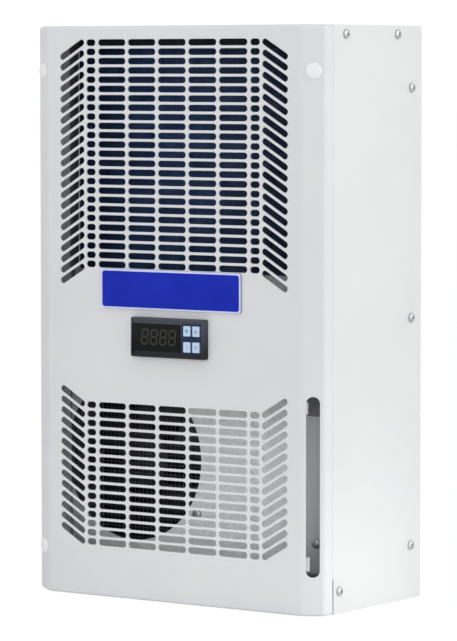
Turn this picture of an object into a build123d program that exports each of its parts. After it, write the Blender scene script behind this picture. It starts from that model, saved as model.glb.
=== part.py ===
# Cabinet air conditioner: a folded sheet-steel housing with a punched front cover.
# Millimetres. +X to the right, +Y to the back, +Z up, origin under the middle of the unit.
from build123d import *
from math import cos, pi, radians, sin, sqrt
import os

# Housing
width = 304.0
height = 500.0
depth = 162.0  # front face of the cover to the back face
sheet = 1.5
fit = 0.3  # clearance between sheets that lap
seam = 0.5  # joint between the cover and the panels behind it
edge_fold = 16.0  # folded edges of the top and bottom panels
back_fold = 26.0  # folded edges of the back plate

# Front cover
cover_depth = 22.0
chamfer_run = 17.4  # across the width
chamfer_drop = 10.6  # along the depth
corner_run = 12.0  # the bottom corners slope up a little
corner_rise = 3.0

# Punched slots of both grilles
slot_width = 5.7
slot_length = 29.6
short_length = 9.8
row_pitch = 8.05
column_pitch = 32.2
slant_angle = 30.5
slant_inset = 27.0  # middle of the slanted slots from the chamfer
short_inset = 20.5  # middle of the short slots from that of the slanted ones
upper_inset = 14.5  # first row of the upper grille from the top edge
upper_end = 292.3  # last row of the upper grille
lower_row_count = 16
lower_middle = 108.1
lower_slant_rise = 0.8  # slanted slots of the lower grille, above its rows

# Long air slot in the right-hand chamfer
side_slot_width = 11.8
side_slot_bottom = 32.9
side_slot_top = 186.5

# Domed plastic caps on the chamfers
cap_diameter = 14.4
cap_rim = 1.4
cap_height = 3.6
cap_slope = 50.0
cap_flat_count = 8
cap_upper = 39.0  # from the top edge
cap_lower = 40.0  # from the bottom edge

# Blank nameplate
plate_width = 148.6
plate_height = 34.4
plate_thickness = 1.9
plate_corner = 1.6
plate_middle = 271.6
plate_offset = -0.6
field_margin = 1.6
field_thickness = 0.4

# Temperature controller in the cover
bezel_width = 78.8
bezel_height = 34.5
bezel_proud = 6.0
bezel_offset = -0.8
controller_middle = 230.8
bezel_rim = 2.0
face_recess = 1.2
body_width = 71.0
body_height = 28.8
body_length = 58.0
window_width = 51.0
window_height = 24.0
window_thickness = 0.7
key_width = 7.4
key_height = 9.0
key_thickness = 2.6
key_stand = 0.9  # how far a key stands above the recessed face
key_travel = 0.8
key_stop = 0.3  # spare depth behind a pressed key
key_gap = 0.35
key_pitch_x = 9.6
key_pitch_z = 13.9
key_column = 25.4  # middle of the keypad from the middle of the bezel

# Fan plate behind the lower grille and the axial fan on it
fan_plate_depth = 52.0
fan_plate_top = 196.0
fan_plate_shelf = 24.0
shelf_lip = 19.0  # the shelf's front edge is folded down
shelf_short = 30.0  # the shelf stops short of the air slot in the right-hand chamfer
fan_opening = 148.4
fan_inset = 68.3  # middle of the opening from the plate's left edge, which it breaks
fan_z = 118.6
fan_flat_count = 18  # the round opening is drawn with flats
mesh_thickness = 1.0
mesh_lap = 2.0
fan_reach = 38.0  # depth of the fan behind the mesh
strap = 2.0
strap_width = 16.0
tip_gap = 5.0  # between the blades and the plate's left edge
hub_diameter = 58.0
hub_length = 26.0
hub_flat_count = 8
blade_count = 5
blade_chord = 34.0
blade_thickness = 1.6
blade_pitch = 32.0

# Heat exchangers and the wall between the two air circuits
coil_depth = 50.0
coil_thickness = 26.0
coil_bottom = 285.0
coil_top = 19.0  # from the top edge
fin_pitch = 8.8
fin_reach = 9.0  # how far the fins stand out of the pack
end_plate = 1.5
end_flange = 12.9  # the end plates' rear edges are folded out to the side panels
partition_depth = 100.0
evaporator_inset = 23.4  # either side
evaporator_space = 21.0  # between the evaporator and the back plate
evaporator_bottom = 48.0
evaporator_top = 228.0

# Back plate: air slots and mounting holes
back_slot_inset = 42.0  # ends of the slots from the sides of the unit
back_slot_height = 11.0
back_slot_pitch = 26.0
return_slot_count = 4
return_middle = 120.0  # from the top edge
supply_slot_count = 4
supply_middle = 130.0  # from the bottom edge
mount_hole = 7.0
mount_inset_x = 17.0
mount_inset_z = 50.0

# Places worked out from the sizes above
front = -(depth - bezel_proud) / 2  # front face of the cover, so that the origin is in the middle
half = width / 2
panel_front = cover_depth + seam
inside = half - sheet - fit  # outer face of the folded edges
clear = inside - sheet - fit  # half the width that inner sheets may take
slant_offset = half - chamfer_run - slant_inset
short_offset = slant_offset - short_inset
long_column_count = int((2 * short_offset - short_length) / column_pitch)
upper_row_count = int((height - upper_inset - upper_end) / row_pitch + 1.5)
fan_x = fan_inset - clear
coil_half = inside - end_flange


def slab(x, d, z):
    # Box between limits across the width, behind the front face and up the height
    middle = Pos((x[0] + x[1]) / 2, front + (d[0] + d[1]) / 2, (z[0] + z[1]) / 2)
    return middle * Box(x[1] - x[0], d[1] - d[0], z[1] - z[0])


def facing(d):
    # Upright plane at a depth behind the front face, seen from the front: local x is X, local y is Z
    return Plane(origin=(0, front + d, 0), x_dir=(1, 0, 0), z_dir=(0, -1, 0))


def run(outline, d):
    # Section drawn across the width and height, run between two depths
    return extrude(facing(d[1]) * outline, amount=d[1] - d[0], dir=(0, -1, 0))


def chamfer_plane(side, z):
    # Plane on the middle of a chamfer strip, pointing outwards
    place = (side * (half - chamfer_run / 2), front + chamfer_drop / 2, z)
    along = (side * chamfer_run, chamfer_drop, 0) if side > 0 else (chamfer_run, -chamfer_drop, 0)
    return Plane(origin=place, x_dir=along, z_dir=(side * chamfer_drop, -chamfer_run, 0))


def slot_outline(length, wide):
    # Punched slot, its round ends drawn with three flats each
    corner = wide * (1 - 1 / sqrt(2))
    return chamfer(Rectangle(length, wide).vertices(), corner)


def grille_places(rows, first, fall, rise):
    # Centre and turn of every slot in one grille; the slanted ones fall or rise to the outside
    slant_pitch = row_pitch / cos(radians(slant_angle))
    slant_drop = (slot_length - slot_width) / 2 * sin(radians(slant_angle))
    slants = int((rows - 1) * row_pitch / slant_pitch + 1.5)
    long_slots = []
    short_slots = []
    for row in range(rows):
        z = first - row * row_pitch
        for column in range(long_column_count):
            x = (column - (long_column_count - 1) / 2) * column_pitch
            long_slots.append(Pos(x, z))
        for side in (-1, 1):
            short_slots.append(Pos(side * short_offset, z))
    for row in range(slants):
        z = first + rise - row * slant_pitch - fall * slant_drop
        for side in (-1, 1):
            long_slots.append(Pos(side * slant_offset, z) * Rot(0, 0, -side * fall * slant_angle))
    return long_slots, short_slots


def grille_cutters():
    through = 4 * sheet
    plane = facing(through / 2)
    lower_first = lower_middle + (lower_row_count - 1) * row_pitch / 2
    upper = grille_places(upper_row_count, height - upper_inset, 1, 0)
    lower = grille_places(lower_row_count, lower_first, -1, lower_slant_rise)
    long_slot = slot_outline(slot_length, slot_width)
    short_slot = slot_outline(short_length, slot_width)
    cutters = []
    for long_places, short_places in (upper, lower):
        cutters += [extrude(plane * (place * long_slot), amount=through) for place in long_places]
        cutters += [extrude(plane * (place * short_slot), amount=through) for place in short_places]
    return cutters


def front_cover():
    flat = half - chamfer_run
    plan = Polygon(
        (-half, cover_depth),
        (-half, chamfer_drop),
        (-flat, 0),
        (flat, 0),
        (half, chamfer_drop),
        (half, cover_depth),
        align=None,
    )
    outline = Polygon(
        (-half, height),
        (-half, corner_rise),
        (corner_run - half, 0),
        (half - corner_run, 0),
        (half, corner_rise),
        (half, height),
        align=None,
    )
    block = extrude(Pos(0, front, 0) * plan, amount=height) & run(outline, (0, cover_depth))
    cover = offset(block, amount=-sheet, openings=block.faces().sort_by(Axis.Y)[-1])
    cover -= grille_cutters()
    slot = Rot(0, 0, 90) * slot_outline(side_slot_top - side_slot_bottom, side_slot_width)
    slot_plane = chamfer_plane(1, (side_slot_top + side_slot_bottom) / 2)
    cover -= extrude(slot_plane * slot, amount=2 * sheet, both=True)
    opening = Pos(bezel_offset, controller_middle) * Rectangle(body_width + 2 * fit, body_height + 2 * fit)
    return cover - run(opening, (-sheet, 2 * sheet))


def cap(side, z):
    # Round plug cap with a sloping crown, its rim drawn with flats
    outline = RegularPolygon(cap_diameter / 2, cap_flat_count)
    crown = extrude(Pos(0, 0, cap_rim) * outline, amount=cap_height - cap_rim, taper=cap_slope)
    return chamfer_plane(side, z) * (extrude(outline, amount=cap_rim) + crown)


def side_panel(side):
    panel_x = sorted((side * half, side * (half - sheet)))
    return slab(panel_x, (panel_front, depth), (0, height))


def edge_panel(up):
    # Top or bottom panel: a channel whose folded edges stand inside the side panels
    outer = inside
    inner = inside - sheet
    level = (0, sheet, edge_fold)
    z = [height - value for value in level] if up else list(level)
    channel = Polygon(
        (-outer, z[0]),
        (outer, z[0]),
        (outer, z[2]),
        (inner, z[2]),
        (inner, z[1]),
        (-inner, z[1]),
        (-inner, z[2]),
        (-outer, z[2]),
        align=None,
    )
    return run(channel, (panel_front, depth))


def air_slots(count, middle):
    slots = []
    for row in range(count):
        z = middle + (row - (count - 1) / 2) * back_slot_pitch
        outline = Pos(0, z) * Rectangle(width - 2 * back_slot_inset, back_slot_height)
        slots.append(run(outline, (depth - 2 * sheet, depth + sheet)))
    return slots


def back_plate():
    # Plate between the top and bottom panels, its side edges folded forward
    lower = sheet + fit
    upper = height - sheet - fit
    plate = slab((-clear, clear), (depth - sheet, depth), (lower, upper))
    for side in (-1, 1):
        fold_x = sorted((side * (inside - sheet), side * inside))
        plate += slab(fold_x, (depth - back_fold, depth), (edge_fold + fit, height - edge_fold - fit))
        join_x = sorted((side * clear, side * inside))
        plate += slab(join_x, (depth - sheet, depth), (edge_fold + fit, height - edge_fold - fit))
    plate -= air_slots(return_slot_count, height - return_middle)
    plate -= air_slots(supply_slot_count, supply_middle)
    for place in GridLocations(width - 2 * mount_inset_x, height - 2 * mount_inset_z, 2, 2):
        hole = Pos(0, height / 2) * place * Circle(mount_hole / 2)
        plate -= run(hole, (depth - 2 * sheet, depth + sheet))
    return plate


def fan_plate():
    # Upright plate with the fan opening; its top edge is folded forward as a shelf with a lip
    plate = slab((-clear, clear), (fan_plate_depth, fan_plate_depth + sheet), (sheet, fan_plate_top))
    shelf_x = (-clear, clear - shelf_short)
    shelf_front = fan_plate_depth - fan_plate_shelf
    plate += slab(shelf_x, (shelf_front, fan_plate_depth + sheet), (fan_plate_top - sheet, fan_plate_top))
    plate += slab(shelf_x, (shelf_front, shelf_front + sheet), (fan_plate_top - shelf_lip, fan_plate_top))
    opening = Pos(fan_x, fan_z) * RegularPolygon(fan_opening / 2, fan_flat_count)
    return plate - run(opening, (fan_plate_depth - sheet, fan_plate_depth + 2 * sheet))


def fan_mesh():
    # Sheet of mesh held between the plate and the fan, cut off at the plate's left edge
    reach = fan_opening / 2 + mesh_lap
    start = fan_plate_depth + sheet
    return slab((-clear, fan_x + reach), (start, start + mesh_thickness), (fan_z - reach, fan_z + reach))


def fan_bracket():
    # Bent strap that bridges the opening from top to bottom behind the mesh and carries the motor
    foot = fan_plate_depth + sheet + mesh_thickness
    back = foot + fan_reach
    inner = fan_opening / 2 + fit
    outer = inner + strap
    section = Polygon(
        (-outer, foot),
        (-inner, foot),
        (-inner, back - strap),
        (inner, back - strap),
        (inner, foot),
        (outer, foot),
        (outer, back),
        (-outer, back),
        align=None,
    )
    left = Plane(origin=(fan_x - strap_width / 2, front, fan_z), x_dir=(0, 0, -1), z_dir=(1, 0, 0))
    return extrude(left * section, amount=strap_width)


def fan_rotor():
    # Motor hub on the strap, with flat pitched blades
    end = fan_plate_depth + sheet + mesh_thickness + fan_reach - strap
    hub = RegularPolygon(hub_diameter / 2, hub_flat_count)
    root = hub_diameter / 2 * cos(pi / hub_flat_count) - blade_thickness
    tip = fan_inset - tip_gap
    blade = Pos((root + tip) / 2, 0, hub_length / 2) * Rot(blade_pitch, 0, 0)
    blade = blade * Box(tip - root, blade_chord, blade_thickness)
    rotor = extrude(Rot(0, 0, 180 / hub_flat_count) * hub, amount=hub_length)
    for turn in range(blade_count):
        rotor += Rot(0, 0, turn * 360 / blade_count) * blade
    return facing(end) * Pos(fan_x, fan_z) * rotor


def coil():
    # Fin pack: sharp upright fins along the front of one block
    count = int(2 * coil_half / fin_pitch)
    pitch = 2 * coil_half / count
    back = coil_depth + coil_thickness
    outline = [(coil_half, back), (-coil_half, back)]
    for fin in range(count):
        edge = -coil_half + fin * pitch
        outline += [(edge, coil_depth), (edge + pitch / 2, coil_depth + fin_reach)]
    outline.append((coil_half, coil_depth))
    section = Pos(0, front, coil_bottom) * Polygon(*outline, align=None)
    return extrude(section, amount=height - coil_top - coil_bottom)


def coil_end(side):
    # Plate at the end of the fins, its rear edge folded out to the side panel
    plate_x = sorted((side * coil_half, side * (coil_half + end_plate)))
    flange_x = sorted((side * coil_half, side * inside))
    back = coil_depth + coil_thickness
    upright = (coil_bottom, height - coil_top)
    return slab(plate_x, (coil_depth, back), upright) + slab(flange_x, (back - end_plate, back), upright)


def partition():
    return slab((-clear, clear), (partition_depth, partition_depth + sheet), (sheet, height - sheet))


def evaporator():
    start = partition_depth + sheet
    span = clear - evaporator_inset
    end = depth - sheet - evaporator_space
    return slab((-span, span), (start, end), (evaporator_bottom, evaporator_top))


def nameplate():
    outline = chamfer(Rectangle(plate_width, plate_height).vertices(), plate_corner)
    return run(Pos(plate_offset, plate_middle) * outline, (-plate_thickness, 0))


def nameplate_field():
    outline = Rectangle(plate_width - 2 * field_margin, plate_height - 2 * field_margin)
    front_face = -plate_thickness - field_thickness
    return run(Pos(plate_offset, plate_middle) * outline, (front_face, -plate_thickness))


controller = Pos(bezel_offset, controller_middle)
face_depth = face_recess - bezel_proud  # recessed face of the controller, from the cover's front face
pocket_end = face_depth - key_stand + key_thickness + key_travel + key_stop
window_x = -bezel_width / 2 + bezel_rim + window_width / 2


def key_place(column, row):
    x = key_column + (column - 0.5) * key_pitch_x
    return controller * Pos(x, (0.5 - row) * key_pitch_z)


def controller_bezel():
    bezel = run(controller * Rectangle(bezel_width, bezel_height), (-bezel_proud, 0))
    recess = Rectangle(bezel_width - 2 * bezel_rim, bezel_height - 2 * bezel_rim)
    bezel -= run(controller * recess, (-2 * bezel_proud, face_depth))
    pocket = Rectangle(key_width + 2 * key_gap, key_height + 2 * key_gap)
    for column in (0, 1):
        for row in (0, 1):
            bezel -= run(key_place(column, row) * pocket, (-bezel_proud, pocket_end))
    return bezel


def controller_key(column, row):
    start = face_depth - key_stand
    return run(key_place(column, row) * Rectangle(key_width, key_height), (start, start + key_thickness))


def controller_window():
    outline = controller * Pos(window_x, 0) * Rectangle(window_width, window_height)
    return run(outline, (face_depth - window_thickness, face_depth))


def controller_body():
    return run(controller * Rectangle(body_width, body_height), (0, body_length))


pieces = {
    "front_cover": front_cover(),
    "left_side_panel": side_panel(-1),
    "right_side_panel": side_panel(1),
    "top_panel": edge_panel(True),
    "bottom_panel": edge_panel(False),
    "back_plate": back_plate(),
    "fan_plate": fan_plate(),
    "fan_mesh": fan_mesh(),
    "fan_bracket": fan_bracket(),
    "fan_rotor": fan_rotor(),
    "condenser_fins": coil(),
    "condenser_left_end": coil_end(-1),
    "condenser_right_end": coil_end(1),
    "partition": partition(),
    "evaporator_fins": evaporator(),
    "nameplate": nameplate(),
    "nameplate_field": nameplate_field(),
    "controller_bezel": controller_bezel(),
    "controller_window": controller_window(),
    "controller_body": controller_body(),
    "key_upper_left": controller_key(0, 0),
    "key_upper_right": controller_key(1, 0),
    "key_lower_left": controller_key(0, 1),
    "key_lower_right": controller_key(1, 1),
    "cap_right_upper": cap(1, height - cap_upper),
    "cap_left_upper": cap(-1, height - cap_upper),
    "cap_left_lower": cap(-1, cap_lower),
}

os.makedirs("parts", exist_ok=True)
for name, piece in pieces.items():
    export_step(piece, f"parts/{name}.step")
    print(name, round(piece.volume / 1000, 2), "cm3")
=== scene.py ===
import math

import bmesh
import bpy
from mathutils import Matrix, Vector


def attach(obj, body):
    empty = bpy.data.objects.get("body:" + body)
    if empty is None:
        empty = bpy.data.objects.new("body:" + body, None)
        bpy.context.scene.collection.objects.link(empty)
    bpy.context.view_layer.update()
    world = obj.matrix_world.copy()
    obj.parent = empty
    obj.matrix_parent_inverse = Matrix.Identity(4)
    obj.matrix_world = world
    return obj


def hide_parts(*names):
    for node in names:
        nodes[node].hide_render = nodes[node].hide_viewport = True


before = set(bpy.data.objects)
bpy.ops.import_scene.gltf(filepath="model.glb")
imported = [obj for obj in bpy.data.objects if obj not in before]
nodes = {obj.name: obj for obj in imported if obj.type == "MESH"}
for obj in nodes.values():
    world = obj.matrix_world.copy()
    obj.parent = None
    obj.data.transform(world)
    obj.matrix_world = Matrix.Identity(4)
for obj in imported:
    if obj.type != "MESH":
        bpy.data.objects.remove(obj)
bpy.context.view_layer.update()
scene = bpy.context.scene
scene.view_settings.view_transform = "Standard"

# pieces are modelled in millimetres and scaled when finished
frontFace = -78.0  # front of the cover
weld = 0.002  # points nearer than this become one
quarterHandle = 0.5523  # handle of a quarter circle, as a share of its radius


def tone(r, g, b):
    def linear(v):
        v = v / 255
        return v / 12.92 if v <= 0.04045 else ((v + 0.055) / 1.055) ** 2.4
    return (linear(r), linear(g), linear(b), 1.0)


def newVerts(made):
    return [v for v in made["geom"] if isinstance(v, bmesh.types.BMVert)]


def frontOf(bm):
    return min(bm.faces, key=lambda f: f.calc_center_median().y)


def finishPiece(name, bm, finishList, stands=(), body="housing", sharp=35):
    bmesh.ops.scale(bm, vec=(0.001, 0.001, 0.001), verts=bm.verts)
    data = bpy.data.meshes.new(name)
    bm.to_mesh(data)
    bm.free()
    for finish in finishList:
        data.materials.append(finish)
    for face in data.polygons:
        face.use_smooth = True
    data.set_sharp_from_angle(angle=math.radians(sharp))
    piece = bpy.data.objects.new(name, data)
    scene.collection.objects.link(piece)
    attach(piece, body)
    if stands:
        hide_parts(*stands)


def bevelEdges(bm, edges, offset, segments):
    bmesh.ops.bevel(bm, geom=edges, offset=offset, segments=segments, profile=0.5,
                    affect="EDGES", material=-1, clamp_overlap=True)


def addBlock(bm, low, high, index=0):
    made = bmesh.ops.create_cube(bm, size=1.0)["verts"]
    bmesh.ops.scale(bm, vec=[b - a for a, b in zip(low, high)], verts=made)
    bmesh.ops.translate(bm, vec=[(a + b) / 2 for a, b in zip(low, high)], verts=made)
    for face in {f for v in made for f in v.link_faces}:
        face.material_index = index


def addTablet(bm, low, high, corner, lip, cornerSteps=4, lipSteps=3):
    # block that faces the front, in an empty bmesh: its four corners rounded first, then its front edge
    addBlock(bm, low, high)
    along = [e for e in bm.edges if e.verts[0].co.y != e.verts[1].co.y]
    bevelEdges(bm, along, corner, cornerSteps)
    bevelEdges(bm, list(frontOf(bm).edges), lip, lipSteps)


def addSpline(curve, points, steps):
    # each point is (place, left handle, right handle); no handle means a straight run
    spline = curve.splines.new("BEZIER")
    spline.bezier_points.add(len(points) - 1)
    spline.use_cyclic_u = True
    spline.resolution_u = steps
    for knot, (place, left, right) in zip(spline.bezier_points, points):
        knot.co = place
        knot.handle_left_type = "FREE" if left else "VECTOR"
        knot.handle_right_type = "FREE" if right else "VECTOR"
        if left:
            knot.handle_left = left
        if right:
            knot.handle_right = right


def straightOutline(curve, corners):
    addSpline(curve, [(Vector((x, y, 0)), None, None) for x, y in corners], steps=1)


def boxOutline(curve, x0, x1, y0, y1, corner=0.0):
    corners = [(x0, y0), (x1, y0), (x1, y1), (x0, y1)]
    if not corner:
        straightOutline(curve, corners)
        return
    ring = [Vector((x, y, 0)) for x, y in corners]
    points = []
    for i, here in enumerate(ring):
        a = here + (ring[i - 1] - here).normalized() * corner
        b = here + (ring[(i + 1) % 4] - here).normalized() * corner
        points.append((a, None, a + (here - a) * quarterHandle))
        points.append((b, b + (here - b) * quarterHandle, None))
    addSpline(curve, points, steps=5)


def slotOutline(curve, place, length, wide, steps=7):
    r = wide / 2
    a = length / 2 - r
    k = r * 4 / 3  # one handle pair swings each round end
    points = [
        ((-a, -r), (-a - k, -r), None),
        ((a, -r), None, (a + k, -r)),
        ((a, r), (a + k, r), None),
        ((-a, r), None, (-a - k, r)),
    ]
    turned = []
    for group in points:
        turned.append([place @ Vector((*p, 0)) if p else None for p in group])
    addSpline(curve, turned, steps)


def sheetFromCurve(curve, thick, edge):
    # filled outline with its holes, as a sheet whose front is +z, edges broken by a small bevel
    curve.dimensions = "2D"
    curve.fill_mode = "BOTH"
    curve.extrude = thick / 2 - edge
    curve.bevel_depth = edge
    curve.bevel_resolution = 0
    curve.offset = -edge
    holder = bpy.data.objects.new(curve.name, curve)
    scene.collection.objects.link(holder)
    bpy.context.view_layer.update()
    flat = bpy.data.meshes.new_from_object(holder.evaluated_get(bpy.context.evaluated_depsgraph_get()))
    bm = bmesh.new()
    bm.from_mesh(flat)
    bpy.data.objects.remove(holder)
    bpy.data.curves.remove(curve)
    bpy.data.meshes.remove(flat)
    bmesh.ops.remove_doubles(bm, verts=bm.verts, dist=weld)
    bmesh.ops.recalc_face_normals(bm, faces=bm.faces)
    return bm


def standUp(bm, depth, thick):
    # flat sheet to an upright one whose front is at this depth behind the cover's face
    for vert in bm.verts:
        x, y, z = vert.co
        vert.co = (x, frontFace + depth + thick / 2 - z, y)


def turnProfile(bm, profile, steps):
    # points of (radius, height), spun once round the z axis
    verts = [bm.verts.new((r, 0, h)) for r, h in profile]
    edges = [bm.edges.new(pair) for pair in zip(verts, verts[1:])]
    bmesh.ops.spin(bm, geom=verts + edges, cent=(0, 0, 0), axis=(0, 0, 1), angle=2 * math.pi,
                   steps=steps, use_merge=True)
    bmesh.ops.remove_doubles(bm, verts=bm.verts, dist=weld)
    bmesh.ops.recalc_face_normals(bm, faces=bm.faces)


def joinInto(target, source, index):
    data = bpy.data.meshes.new("joinTemp")
    for face in source.faces:
        face.material_index = index
    source.to_mesh(data)
    source.free()
    target.from_mesh(data)
    bpy.data.meshes.remove(data)


def cloudy(tree, place, look):
    # soft clouds of the dark and the light tone
    cloud = tree.nodes.new("ShaderNodeTexNoise")
    cloud.inputs["Scale"].default_value = look["cloud"]
    cloud.inputs["Detail"].default_value = 4
    tree.links.new(place, cloud.inputs["Vector"])
    return cloud.outputs["Fac"]


def spangled(tree, place, look):
    # zinc coating: crystals of slightly different greys
    crystal = tree.nodes.new("ShaderNodeTexVoronoi")
    crystal.inputs["Scale"].default_value = look["crystal"]
    tree.links.new(place, crystal.inputs["Vector"])
    split = tree.nodes.new("ShaderNodeSeparateColor")
    tree.links.new(crystal.outputs["Color"], split.inputs["Color"])
    return split.outputs["Red"]


def alongAxis(tree, place, axis, first, last):
    # from 0 to 1 between two places on an axis, in metres
    split = tree.nodes.new("ShaderNodeSeparateXYZ")
    tree.links.new(place, split.inputs["Vector"])
    span = tree.nodes.new("ShaderNodeMapRange")
    span.inputs["From Min"].default_value = first
    span.inputs["From Max"].default_value = last
    tree.links.new(split.outputs[axis], span.inputs["Value"])
    return span.outputs["Result"]


def paintedTopLight(tree, place, look):
    # painted light and shade: paler towards the top between two heights, darker at the foot
    return alongAxis(tree, place, "Z", *look["topLightHeights"])


def paintedShadeAcrossX(tree, place, look, colour):
    # painted shade and sheen that change from left to right, given as a factor at each x
    first, last = look["shadeAndSheenAlongX"][0][0], look["shadeAndSheenAlongX"][-1][0]
    shade = tree.nodes.new("ShaderNodeValToRGB")
    stops = shade.color_ramp.elements
    while len(stops) < len(look["shadeAndSheenAlongX"]):
        stops.new(0.5)
    for stop, (x, factor) in zip(stops, look["shadeAndSheenAlongX"]):
        stop.position = (x - first) / (last - first)
        stop.color = (*factor, 1.0)
    tree.links.new(alongAxis(tree, place, "X", first, last), shade.inputs["Fac"])
    blend = tree.nodes.new("ShaderNodeVectorMath")
    blend.operation = "MULTIPLY"
    tree.links.new(colour, blend.inputs[0])
    tree.links.new(shade.outputs["Color"], blend.inputs[1])
    return blend.outputs["Vector"]


def surface(name, look, pattern=cloudy):
    # patterned colour, fine grain in the bump and a roughness that wanders a little
    finish = bpy.data.materials.new(name)
    finish.use_nodes = True
    tree = finish.node_tree
    shader = tree.nodes["Principled BSDF"]
    shader.inputs["Metallic"].default_value = look.get("metal", 0.0)
    shader.inputs["Specular IOR Level"].default_value = look.get("specular", 0.5)
    place = tree.nodes.new("ShaderNodeTexCoord").outputs["Object"]
    ramp = tree.nodes.new("ShaderNodeValToRGB")
    ramp.color_ramp.elements[0].position = 0.3
    ramp.color_ramp.elements[0].color = look["dark"]
    ramp.color_ramp.elements[1].position = 0.7
    ramp.color_ramp.elements[1].color = look["light"]
    grain = tree.nodes.new("ShaderNodeTexNoise")
    grain.inputs["Scale"].default_value = look["grain"]
    grain.inputs["Detail"].default_value = 3
    rough = tree.nodes.new("ShaderNodeMapRange")
    rough.inputs["To Min"].default_value = look["rough"][0]
    rough.inputs["To Max"].default_value = look["rough"][1]
    bump = tree.nodes.new("ShaderNodeBump")
    bump.inputs["Strength"].default_value = look["bump"]
    bump.inputs["Distance"].default_value = 0.0003
    link = tree.links.new
    link(pattern(tree, place, look), ramp.inputs["Fac"])
    colour = ramp.outputs["Color"]
    # painted shade and sheen across x, where the look lists them
    if "shadeAndSheenAlongX" in look:
        colour = paintedShadeAcrossX(tree, place, look, colour)
    link(colour, shader.inputs["Base Color"])
    link(place, grain.inputs["Vector"])
    link(grain.outputs["Fac"], rough.inputs["Value"])
    link(rough.outputs["Result"], shader.inputs["Roughness"])
    link(grain.outputs["Fac"], bump.inputs["Height"])
    link(bump.outputs["Normal"], shader.inputs["Normal"])
    return finish


greyPaint = surface("greyPaint", {
    "dark": tone(215, 216, 219), "light": tone(219, 220, 222), "cloud": 9.0,
    "grain": 1300.0, "bump": 0.08, "rough": (0.42, 0.56), "specular": 0.35})
sidePaint = surface("sidePaint", {
    "dark": tone(215, 216, 217), "light": tone(219, 220, 220), "cloud": 9.0,
    "grain": 1300.0, "bump": 0.08, "rough": (0.42, 0.56), "specular": 0.35})
galvanised = surface("galvanised", {
    "dark": tone(232, 233, 235), "light": tone(242, 243, 244), "crystal": 400.0,
    "grain": 700.0, "bump": 0.05, "rough": (0.42, 0.6), "specular": 0.4}, spangled)
wireBlack = surface("wireBlack", {
    "dark": tone(44, 44, 47), "light": tone(68, 68, 72), "cloud": 200.0,
    "grain": 1500.0, "bump": 0.1, "rough": (0.4, 0.55)})
fanBlack = surface("fanBlack", {
    "dark": tone(16, 16, 17), "light": tone(24, 24, 26), "cloud": 40.0,
    "grain": 900.0, "bump": 0.08, "rough": (0.45, 0.6)})
# near black for the partition, so the housing behind the fan stays dark: painted shade
shadeBlack = surface("shadeBlack", {
    "dark": tone(14, 14, 15), "light": tone(30, 30, 32), "cloud": 300.0,
    "grain": 500.0, "bump": 0.6, "rough": (0.85, 0.95), "specular": 0.2})
baffleGrey = surface("baffleGrey", {
    "dark": tone(196, 197, 200), "light": tone(202, 203, 206), "cloud": 20.0,
    "grain": 700.0, "bump": 0.03, "rough": (0.5, 0.6), "specular": 0.3})
# dark grey for sheets that stand for shade inside the housing: painted shade
paintedShadeSheet = surface("paintedShadeSheet", {
    "dark": tone(122, 122, 127), "light": tone(134, 134, 140), "cloud": 120.0,
    "grain": 500.0, "bump": 0.3, "rough": (0.75, 0.9), "specular": 0.2})
sealGrey = surface("sealGrey", {
    "dark": tone(30, 33, 42), "light": tone(46, 49, 58), "cloud": 60.0,
    "grain": 500.0, "bump": 0.3, "rough": (0.75, 0.9), "specular": 0.2})
# condenser fins: a blue raised paler to stand in for light inside the housing, painted darker towards the
# left as shade and greyer towards the right as painted sheen
finBlue = surface("finBlue", {
    "dark": tone(62, 94, 144), "light": tone(94, 129, 182), "cloud": 55.0,
    "shadeAndSheenAlongX": [(-0.130, (0.50, 0.46, 0.52)), (-0.060, (0.85, 0.95, 0.97)), (0.020, (1.10, 0.98, 0.92)),
              (0.085, (1.05, 0.68, 0.55))],
    "grain": 600.0, "bump": 0.1, "rough": (0.3, 0.45), "metal": 0.35})
finBare = surface("finBare", {
    "dark": tone(165, 168, 172), "light": tone(196, 199, 203), "cloud": 70.0,
    "grain": 600.0, "bump": 0.08, "rough": (0.3, 0.45), "metal": 0.9})
copper = surface("copper", {
    "dark": tone(160, 92, 62), "light": tone(196, 122, 86), "cloud": 50.0,
    "grain": 500.0, "bump": 0.06, "rough": (0.25, 0.4), "metal": 1.0})
plateSilver = surface("plateSilver", {
    "dark": tone(206, 213, 250), "light": tone(216, 222, 252), "cloud": 80.0,
    "grain": 900.0, "bump": 0.03, "rough": (0.3, 0.42), "specular": 0.4})
# darker lilac grey for the nameplate's side faces: painted shade
plateEdgeShade = surface("plateEdgeShade", {
    "dark": tone(124, 130, 164), "light": tone(136, 142, 176), "cloud": 80.0,
    "grain": 900.0, "bump": 0.03, "rough": (0.4, 0.5), "specular": 0.2})
plateBlue = surface("plateBlue", {
    "dark": tone(20, 36, 164), "light": tone(26, 46, 178), "cloud": 22.0,
    "grain": 900.0, "bump": 0.02, "rough": (0.3, 0.4), "specular": 0.1})
# controller bezel plastic, painted lighter at the top as light from above and darker at the foot as painted
# shade
blackPlastic = surface("blackPlastic", {
    "dark": tone(37, 38, 42), "light": tone(72, 75, 85), "topLightHeights": (0.204, 0.258),
    "grain": 1600.0, "bump": 0.12, "rough": (0.42, 0.56), "specular": 0.2}, paintedTopLight)
keyNavy = surface("keyNavy", {
    "dark": tone(14, 34, 68), "light": tone(20, 44, 82), "cloud": 90.0,
    "grain": 1500.0, "bump": 0.05, "rough": (0.35, 0.48), "specular": 0.25})
darkLens = surface("darkLens", {
    "dark": tone(14, 15, 16), "light": tone(20, 21, 22), "cloud": 40.0,
    "grain": 900.0, "bump": 0.0, "rough": (0.1, 0.16), "specular": 0.12})
digitGhost = surface("digitGhost", {
    "dark": tone(50, 50, 47), "light": tone(64, 63, 59), "cloud": 120.0,
    "grain": 900.0, "bump": 0.0, "rough": (0.12, 0.18), "specular": 0.12})
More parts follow.
